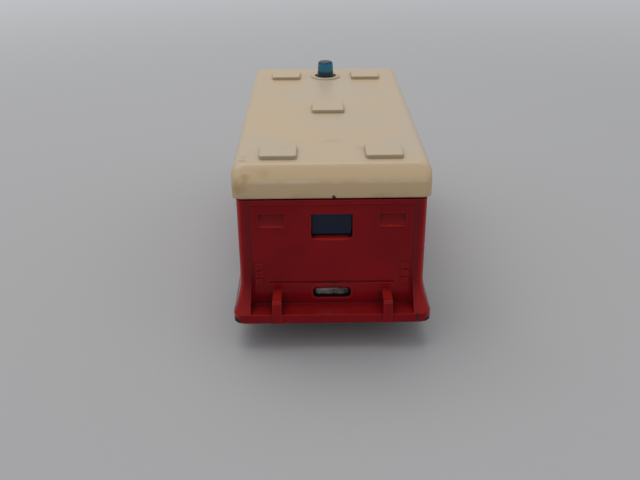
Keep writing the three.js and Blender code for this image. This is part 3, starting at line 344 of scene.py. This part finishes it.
def red_paint():
    """Gloss enamel with a faint orange peel, painted light on what faces up, painted shade in the hollows,
    on the slopes and in the slot, painted highlights on corners, edges and lips, worn edges, chips and an
    unpainted rivet.
    """
    paint = Finish("red_paint", Specular_IOR_Level=0.34, Specular_Tint=PAINT_SHEEN)
    tone = paint.patches(per_mm=0.11, detail=4, start=0.35, end=0.65)
    speckle = paint.patches(per_mm=2.6, detail=5, start=0.5, end=0.75)
    openness = paint.openness(reach=1.6)
    open_air = paint.ramp(openness, start=0.45, end=0.85)
    level = paint.facing_up(start=0.3, end=0.8)
    # what faces up is lightened with speckled brighter red: painted light
    dust = paint.both(level, open_air, paint.span(speckle, low=0.24, high=0.38))
    rubbed = paint.both(paint.ramp(paint.edges(radius=0.3), start=0.03, end=0.15), open_air)
    chips_and_slot_shade = paint_chips_and_slot_shade(paint, rubbed)
    rivet_at = (0, (axle_low.y + axle_high.y) / 2 + RIVET_AHEAD, BASE_FACE)
    rivet = paint.near(rivet_at, RIVET_REACH, core=0.95)
    colour = paint.coats(
        PAINT_DEEP,
        (tone, PAINT_RED),
        # painted light on what faces up
        (dust, PAINT_LIT_TOP),
        # painted shade in the hollows and on the slopes beside the rear panel
        (paint_shade(paint, openness, speckle), PAINT_SHADE),
        # painted highlights on corners, lips and edges, and worn edges
        (paint_highlights_and_wear(paint, rubbed, open_air), PAINT_HIGHLIGHT),
        # chips, and painted shade on the slot's walls
        (chips_and_slot_shade, CHIP_AND_SHADE_DARK),
        (rivet, ZINC),
    )
    paint.set(Base_Color=colour, Metallic=rivet)
    gloss = paint.span(paint.noise(per_mm=0.5, detail=4), low=0.12, high=0.32)
    paint.set(Roughness=paint.either(gloss, paint.both(chips_and_slot_shade, 0.55)))
    relief = paint.math("MULTIPLY_ADD", chips_and_slot_shade, -1.5, paint.noise(per_mm=1.4, detail=3))
    paint.set(Normal=paint.bump(relief, depth=0.03, strength=0.5, Normal=paint.rounded(0.18)))
    return paint.material


def roof_stains(roof):
    """Brown spots, most of them at the rear left corner."""
    left, rear = roof_low.x, roof_low.y
    places = (
        ((left + 1.9, rear + 0.3, ROOF_FOOT + 2.6), 0.8, 0.5),
        ((left + 0.9, rear + 0.3, ROOF_FOOT + 1.3), 0.9, 0.4),
        ((left + 1.6, rear + 4.6, ROOF_TOP), 0.7, 0.5),
        ((left + 1.5, rear + 3.2, ROOF_TOP), 0.7, 0.6),
        ((0.4, rear + 11.5, ROOF_TOP), 1.4, 0.2),
        ((4.6, rear + 8.2, ROOF_TOP), 1.3, 0.2),
        ((left + 4.5, rear + 1.0, ROOF_TOP - 1), 0.9, 0.2),
    )
    for point, radius, strength in places:
        spot = roof.near(point, radius, core=0.1, ragged=1.8 * radius, grain=0.9, squeeze=(0.8, 1, 0.5))
        yield roof.both(spot, strength)


def roof_crease_highlight(roof):
    """Painted highlight: lighter streaks along the rear wall's crease."""
    crease = roof.ramp(roof.off(roof.z, ROOF_CREASE), start=0.4, end=0.05)
    rear_wall = roof.ramp(roof.y, start=roof_low.y + 0.6, end=roof_low.y)
    streaks = roof.patches(per_mm=0.5, detail=4, start=0.35, end=0.65, stretch=(0.6, 1, 2))
    return roof.both(crease, rear_wall, roof.span(streaks, low=0.05, high=0.45))


def cream_plastic():
    """Satin moulded plastic that has yellowed, with grime, scuffs, stains and one nick, painted shade in
    the hollows and on the hatches' sides, painted warm light at the rear and a painted highlight on the
    crease.
    """
    roof = Finish("cream_plastic", Specular_IOR_Level=0.45)
    aged = roof.patches(per_mm=0.07, detail=4, start=0.38, end=0.66)
    # yellower towards the rear end: partly ageing, partly painted warm bounce light
    rear_aging_and_warm_light = roof.ramp(roof.y, start=roof_low.y + 5, end=roof_low.y)
    speckle = roof.patches(per_mm=3.1, detail=5, start=0.56, end=0.74)
    # darker in the hollows: painted shade
    hollows = roof.ramp(roof.openness(reach=0.8), start=0.85, end=0.35)
    foot = roof.ramp(roof.z, start=ROOF_FOOT + 1.6, end=ROOF_FOOT)
    blotches = roof.patches(per_mm=0.35, detail=5, start=0.4, end=0.7)
    scuffs = roof.patches(per_mm=0.9, detail=6, start=0.64, end=0.72, stretch=(0.25, 2.2, 1))
    marks = roof.both(scuffs, roof.facing_up(start=0.8, end=0.95), 0.35)
    raised = roof.ramp(roof.z, start=ROOF_TOP + 0.02, end=ROOF_TOP + 0.1)
    # the hatches' sides are darkened: painted shade
    hatch_side_shade = roof.both(raised, roof.facing_up(start=0.8, end=0.4), 0.5)
    nick = roof.near((0.25, roof_low.y, ROOF_FOOT + 0.25), radius=0.36, core=0.4, ragged=0.9, grain=2.5)
    colour = roof.coats(
        CREAM,
        (roof.either(roof.both(aged, 0.6), rear_aging_and_warm_light), CREAM_AGED_AND_WARM_LIGHT),
        (roof.both(speckle, 0.16), CREAM_GRIME_AND_SHADE),
        # painted shade in the hollows
        (roof.both(hollows, 0.75), CREAM_GRIME_AND_SHADE),
        (roof.both(foot, roof.span(blotches, low=0.05, high=0.35)), CREAM_GRIME_AND_SHADE),
        (marks, CREAM_GRIME_AND_SHADE),
        (roof_crease_highlight(roof), CREAM_HIGHLIGHT),
        (hatch_side_shade, CREAM_GRIME_AND_SHADE),
        *((stain, STAIN) for stain in roof_stains(roof)),
        (nick, NICK),
    )
    roof.set(Base_Color=colour)
    roof.set(Roughness=roof.span(roof.noise(per_mm=0.6, detail=5), low=0.26, high=0.46))
    relief = roof.math("SUBTRACT", roof.noise(per_mm=1.1, detail=4), roof.either(marks, nick))
    edge_normal = roof.rounded(roof.span(raised, low=0.45, high=0.08))
    roof.set(Normal=roof.bump(relief, depth=0.03, strength=0.4, Normal=edge_normal))
    return roof.material


def blue_glazing():
    """Tinted plastic, a little hazed and scratched.

    The panes are dark. The beacon is clearer; its foot and top are darkened towards navy, painted shade."""
    glass = Finish("blue_glazing", IOR=1.49, Specular_IOR_Level=0.2)
    beacon = glass.ramp(glass.z, start=ROOF_TOP - 0.4, end=ROOF_TOP)
    # the beacon's foot and top are darkened towards navy: painted shade
    foot = glass.ramp(glass.z, start=ROOF_TOP + 1.1, end=ROOF_TOP + 0.4)
    crown = glass.ramp(glass.z, start=window_high.z - 0.45, end=window_high.z - 0.15)
    beacon_tint_and_shade = glass.mix(glass.both(glass.either(foot, crown), 0.8), BEACON_TEAL, PANE_NAVY_AND_SHADE)
    glass.set(Base_Color=glass.mix(beacon, PANE_NAVY_AND_SHADE, beacon_tint_and_shade))
    glass.set(Transmission_Weight=glass.span(beacon, low=0.45, high=0.85))
    haze = glass.patches(per_mm=0.8, detail=5, start=0.45, end=0.75)
    scratches = glass.patches(per_mm=1.6, detail=3, start=0.66, end=0.7, stretch=(6, 0.4, 0.4))
    glass.set(Roughness=glass.span(glass.either(haze, scratches), low=0.04, high=0.22))
    glass.set(Normal=glass.bump(glass.noise(per_mm=0.5, detail=2), depth=0.03, strength=0.3))
    return glass.material


def bare_zinc():
    """Raw die-cast alloy: grainy, tarnished and scratched, with dirt in corners and painted shade in
    blotches on the rear tab.
    """
    metal = Finish("bare_zinc", Metallic=1.0)
    tarnish = metal.patches(per_mm=0.35, detail=8, start=0.42, end=0.6, grit=0.72)
    # the rear tab, in the slot, is darkened in blotches: painted shade
    tab = metal.ramp(metal.y, start=PANEL_FACE + 2.0, end=PANEL_FACE + 1.0)
    blotches = metal.patches(per_mm=0.7, detail=5, start=0.4, end=0.6)
    hollows = metal.ramp(metal.openness(reach=1.0), start=0.8, end=0.2)
    scratches = metal.patches(per_mm=0.8, detail=4, start=0.66, end=0.7, stretch=(0.3, 0.3, 7))
    colour = metal.coats(
        ZINC,
        (metal.both(tarnish, 0.7), ZINC_TARNISH),
        (metal.both(tab, metal.span(blotches, low=0.3, high=0.9)), ZINC_DIRT_AND_SHADE),
        (hollows, ZINC_DIRT_AND_SHADE),
        (metal.both(scratches, 0.6), ZINC_BRIGHT),
    )
    metal.set(Base_Color=colour)
    metal.set(Roughness=metal.span(metal.noise(per_mm=1.2, detail=6, grit=0.65), low=0.26, high=0.62))
    grain = metal.noise(per_mm=4.5, detail=4)
    metal.set(Normal=metal.bump(grain, depth=0.035, strength=0.6, Normal=metal.rounded(0.15)))
    return metal.material


def steel_wire():
    """Drawn wire with fine rings and specks of rust."""
    wire = Finish("steel_wire", Metallic=1.0)
    rust = wire.patches(per_mm=1.3, detail=6, start=0.56, end=0.7)
    wire.set(Base_Color=wire.mix(wire.both(rust, 0.7), STEEL, STEEL_RUST))
    dull = wire.either(rust, wire.noise(per_mm=2.0, detail=3))
    wire.set(Roughness=wire.span(dull, low=0.22, high=0.6))
    rings = wire.noise(per_mm=1.0, detail=3, stretch=(9, 1, 1))
    wire.set(Normal=wire.bump(rings, depth=0.015, strength=0.5))
    return wire.material


def tyre_plastic():
    """Hard black plastic, with dust on the tread and in the hollows."""
    tyre = Finish("tyre_plastic", Specular_IOR_Level=0.4)
    speckle = tyre.patches(per_mm=1.9, detail=6, start=0.42, end=0.72)
    settled = tyre.ramp(tyre.openness(reach=1.0), start=0.95, end=0.4)
    dust = tyre.both(tyre.either(tyre.both(speckle, 0.5), settled), 0.5)
    tyre.set(Base_Color=tyre.mix(dust, TYRE_BLACK, TYRE_DUST))
    tyre.set(Roughness=tyre.span(speckle, low=0.32, high=0.6))
    grain = tyre.noise(per_mm=2.4, detail=4)
    tyre.set(Normal=tyre.bump(grain, depth=0.03, strength=0.4, Normal=tyre.rounded(0.1)))
    return tyre.material


def hub_foil():
    """Bright foil pressed on the hub, rubbed through to the black in places."""
    foil = Finish("hub_foil")
    worn_spots = foil.patches(per_mm=0.9, detail=7, start=0.60, end=0.66)
    edges = foil.ramp(foil.edges(radius=0.12), start=0.05, end=0.2)
    worn_edges = foil.both(edges, foil.patches(per_mm=1.5, detail=5, start=0.5, end=0.6))
    worn = foil.either(worn_spots, worn_edges)
    foil.set(Base_Color=foil.mix(worn, FOIL, TYRE_BLACK))
    foil.set(Metallic=foil.math("SUBTRACT", 1, worn))
    foil.set(Roughness=foil.span(foil.noise(per_mm=1.1, detail=5), low=0.14, high=0.42))
    grain = foil.noise(per_mm=2.2, detail=3)
    foil.set(Normal=foil.bump(grain, depth=0.02, strength=0.4, Normal=foil.rounded(0.08)))
    return foil.material


def pale_floor():
    floor = Finish("pale_floor", Roughness=0.85, Specular_IOR_Level=0.0)
    away = floor.vector("LENGTH", floor.at, output="Value")
    floor.set(Base_Color=floor.mix(floor.ramp(away, FLOOR_NEAR, FLOOR_FAR), FLOOR_GREY, FLOOR_PALE))
    return floor.material


def soften(piece, rounding):
    """Shades a mesh's shallow facets smooth, and rounds its sharp edges where a rounding is given."""
    for polygon in piece.data.polygons:
        polygon.use_smooth = True
    weld = piece.modifiers.new("weld", "WELD")
    weld.merge_threshold = WELD_REACH * MM
    if rounding:
        planes = piece.modifiers.new("planes", "DECIMATE")
        planes.decimate_type = "DISSOLVE"
        planes.angle_limit = FLAT_ANGLE
        bevel = piece.modifiers.new("bevel", "BEVEL")
        bevel.width = rounding * MM
        bevel.segments = BEVEL_SEGMENTS
        bevel.limit_method = "ANGLE"
        bevel.angle_limit = SHARP_ANGLE
        bevel.use_clamp_overlap = False
    else:
        split = piece.modifiers.new("split", "EDGE_SPLIT")
        split.split_angle = SHARP_ANGLE
    normals = piece.modifiers.new("normals", "WEIGHTED_NORMAL")
    normals.weight = LARGE_FACE_WEIGHT
    normals.keep_sharp = True


def dress(piece, material):
    piece.data.materials.clear()
    piece.data.materials.append(material)


def add_object(name, data):
    piece = bpy.data.objects.new(name, data)
    bpy.context.scene.collection.objects.link(piece)
    return piece


# Wheels, in millimetres about their own axle, the outer face towards +X
WHEEL_SEGMENTS = 80
TREAD_HALF = 2.1
BOSS = 0.4
TYRE_SIDE = 1.1
SHOULDER = 0.4
SHOULDER_STEPS = 5
DISH = 0.65
DISC = 1.3
RIM_CONE = 0.35
BORE = 0.6
HUB = 1.75
CAP_INNER = 1.12
CAP_PROUD = 0.14
GROOVE = 0.1
ARCH_COUNT = 5
ARCH_WIDTH = 1.6
ARCH_DEPTH = 0.5
ARCH_STEPS = 10
FOIL_FACING = 0.2  # foil lies on faces that turn outwards by more than this share


def wheel_profile(radius):
    """Radius and place along the axle, round the wheel's section."""
    disc = TREAD_HALF - DISH
    back = disc - DISC
    rim = radius - TYRE_SIDE
    cup = rim - RIM_CONE
    outer = []
    for step in range(SHOULDER_STEPS + 1):
        turn = math.radians(90 * step / SHOULDER_STEPS)
        reach = radius - SHOULDER + SHOULDER * math.sin(turn)
        outer.append((reach, TREAD_HALF - SHOULDER + SHOULDER * math.cos(turn)))
    inner = [(reach, -along) for reach, along in reversed(outer)]
    return [
        (BORE, disc),
        (CAP_INNER, disc),
        (CAP_INNER + GROOVE, disc + CAP_PROUD),
        (HUB - GROOVE, disc + CAP_PROUD),
        (HUB, disc),
        (cup, disc),
        (rim - GROOVE, TREAD_HALF),
        (rim, TREAD_HALF),
        (rim + GROOVE, TREAD_HALF - GROOVE),
        (rim + GROOVE * 2, TREAD_HALF),
        *outer,
        *inner,
        (rim, -TREAD_HALF),
        (cup, back),
        (HUB, back),
        (HUB, -TREAD_HALF - BOSS),
        (BORE, -TREAD_HALF - BOSS),
    ]


def object_of(name, form):
    mesh = bpy.data.meshes.new(name)
    form.to_mesh(mesh)
    form.free()
    return add_object(name, mesh)


def turned_about_x(name, profile, segments):
    form = bmesh.new()
    rings = []
    for segment in range(segments):
        turn = 2 * math.pi * segment / segments
        points = [(along, -reach * math.sin(turn), reach * math.cos(turn)) for reach, along in profile]
        rings.append([form.verts.new(point) for point in points])
    for ring, following in zip(rings, rings[1:] + rings[:1]):
        for here in range(len(profile)):
            ahead = (here + 1) % len(profile)
            form.faces.new((ring[here], ring[ahead], following[ahead], following[here]))
    bmesh.ops.recalc_face_normals(form, faces=form.faces)
    return object_of(name, form)


def arch_cutter(turn, radius):
    """A keystone with a round outer end, standing on the hub."""
    half = ARCH_WIDTH / 2
    crown = radius - TYRE_SIDE - RIM_CONE - half - RIM_CONE / 2
    outline = [(-half / 2, HUB), (half / 2, HUB)]
    for step in range(ARCH_STEPS + 1):
        angle = math.pi * step / ARCH_STEPS
        outline.append((half * math.cos(angle), crown + half * math.sin(angle)))
    floor = TREAD_HALF - DISH - ARCH_DEPTH
    form = bmesh.new()
    face = form.faces.new([form.verts.new((floor, across, up)) for across, up in outline])
    sides = bmesh.ops.extrude_face_region(form, geom=[face])
    raised = [part for part in sides["geom"] if isinstance(part, bmesh.types.BMVert)]
    bmesh.ops.translate(form, verts=raised, vec=(DISH, 0, 0))
    bmesh.ops.rotate(form, verts=form.verts, matrix=Matrix.Rotation(turn, 3, "X"))
    bmesh.ops.recalc_face_normals(form, faces=form.faces)
    return object_of("arch", form)


def wheel_mesh(radius):
    """One wheel in millimetres, its foil faces in the second material."""
    wheel = turned_about_x("wheel", wheel_profile(radius), WHEEL_SEGMENTS)
    cutters = [arch_cutter(2 * math.pi * turn / ARCH_COUNT, radius) for turn in range(ARCH_COUNT)]
    for cutter in cutters:
        arch = wheel.modifiers.new("arch", "BOOLEAN")
        arch.object = cutter
        arch.solver = "EXACT"
    mesh = bpy.data.meshes.new_from_object(wheel.evaluated_get(bpy.context.evaluated_depsgraph_get()))
    for spare in (wheel, *cutters):
        bpy.data.objects.remove(spare)
    pocket = TREAD_HALF - DISH - ARCH_DEPTH / 2
    rim = radius - TYRE_SIDE
    for polygon in mesh.polygons:
        within_rim = math.hypot(polygon.center.y, polygon.center.z) < rim
        outside = polygon.center.x > pocket and polygon.normal.x > FOIL_FACING
        polygon.material_index = int(outside and within_rim)
    return mesh


def add_wheels(tyre, foil):
    low, high = box_mm("wheel_front_right")
    pattern = wheel_mesh((high.z - low.z) / 2)
    for end in ("front", "rear"):
        for hand, side in (("left", -1), ("right", 1)):
            node = f"wheel_{end}_{hand}"
            low, high = box_mm(node)
            outer_face = max(-low.x, high.x)
            centre = Vector((side * (outer_face - TREAD_HALF), (low.y + high.y) / 2, (low.z + high.z) / 2))
            turn = Matrix.Rotation(0 if side > 0 else math.pi, 4, "Z")
            mesh = pattern.copy()
            mesh.transform(Matrix.Scale(MM, 4) @ Matrix.Translation(centre) @ turn)
            wheel = add_object(f"moulded_{node}", mesh)
            for material in (tyre, foil):
                mesh.materials.append(material)
            soften(wheel, LEFT_SHARP)
            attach(wheel, node)
            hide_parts(node)
    bpy.data.meshes.remove(pattern)


def add_camera():
    ahead = Vector(
        (
            math.sin(CAMERA_YAW) * math.cos(CAMERA_PITCH),
            math.cos(CAMERA_YAW) * math.cos(CAMERA_PITCH),
            -math.sin(CAMERA_PITCH),
        )
    )
    level_right = Vector((math.cos(CAMERA_YAW), -math.sin(CAMERA_YAW), 0))
    level_up = level_right.cross(ahead)
    right = level_right * math.cos(CAMERA_ROLL) + level_up * math.sin(CAMERA_ROLL)
    up = right.cross(ahead)
    data = bpy.data.cameras.new("photo_camera")
    data.sensor_width = SENSOR_MM
    data.lens = FOCAL_PX / IMAGE_WIDTH_PX * SENSOR_MM
    data.clip_start = MM
    camera = add_object("photo_camera", data)
    turn = Matrix((right, up, -ahead)).transposed().to_4x4()
    camera.matrix_world = Matrix.Translation(CAMERA_AT_MM * MM) @ turn
    bpy.context.scene.camera = camera


def add_floor():
    bpy.ops.mesh.primitive_plane_add(size=FLOOR_SIZE * MM, location=(0, 0, 0))
    floor = bpy.context.object
    floor.name = "floor"
    dress(floor, pale_floor())


def add_lamp():
    data = bpy.data.lights.new("ceiling_light", "AREA")
    data.shape = "SQUARE"
    data.size = LAMP_SIZE * MM
    data.energy = LAMP_POWER
    lamp = add_object("ceiling_light", data)
    lamp.location = LAMP_AT * MM
    lamp.rotation_euler = (-LAMP_AT).to_track_quat("-Z", "Y").to_euler()


def add_world():
    """Even soft light, and a pale backdrop where the camera, a gloss or a pane sees past the floor."""
    world = bpy.data.worlds.new("studio")
    bpy.context.scene.world = world
    world.use_nodes = True
    tree = world.node_tree
    light = tree.nodes["Background"]
    light.inputs["Color"].default_value = (*AMBIENT, 1)
    light.inputs["Strength"].default_value = AMBIENT_STRENGTH
    seen = tree.nodes.new("ShaderNodeBackground")
    seen.inputs["Color"].default_value = (*BACKDROP, 1)
    path = tree.nodes.new("ShaderNodeLightPath")
    share = path.outputs["Is Camera Ray"]
    for ray in ("Is Glossy Ray", "Is Transmission Ray"):
        either = tree.nodes.new("ShaderNodeMath")
        either.operation = "MAXIMUM"
        tree.links.new(share, either.inputs[0])
        tree.links.new(path.outputs[ray], either.inputs[1])
        share = either.outputs[0]
    choice = tree.nodes.new("ShaderNodeMixShader")
    tree.links.new(share, choice.inputs[0])
    tree.links.new(light.outputs[0], choice.inputs[1])
    tree.links.new(seen.outputs[0], choice.inputs[2])
    tree.links.new(choice.outputs[0], tree.nodes["World Output"].inputs["Surface"])


add_camera()

steel = steel_wire()
finishes = {
    "body_casting": (red_paint(), LEFT_SHARP),
    "roof_cap": (cream_plastic(), ROOF_ROUNDING),
    "window_unit": (blue_glazing(), PANE_ROUNDING),
    "base_plate": (bare_zinc(), LEFT_SHARP),
    "front_axle": (steel, AXLE_ROUNDING),
    "rear_axle": (steel, AXLE_ROUNDING),
}
for name, (material, rounding) in finishes.items():
    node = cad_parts[name]
    soften(node, rounding)
    dress(node, material)
add_wheels(tyre_plastic(), hub_foil())

add_floor()
add_lamp()
add_world()
bpy.context.scene.view_settings.view_transform = "Standard"
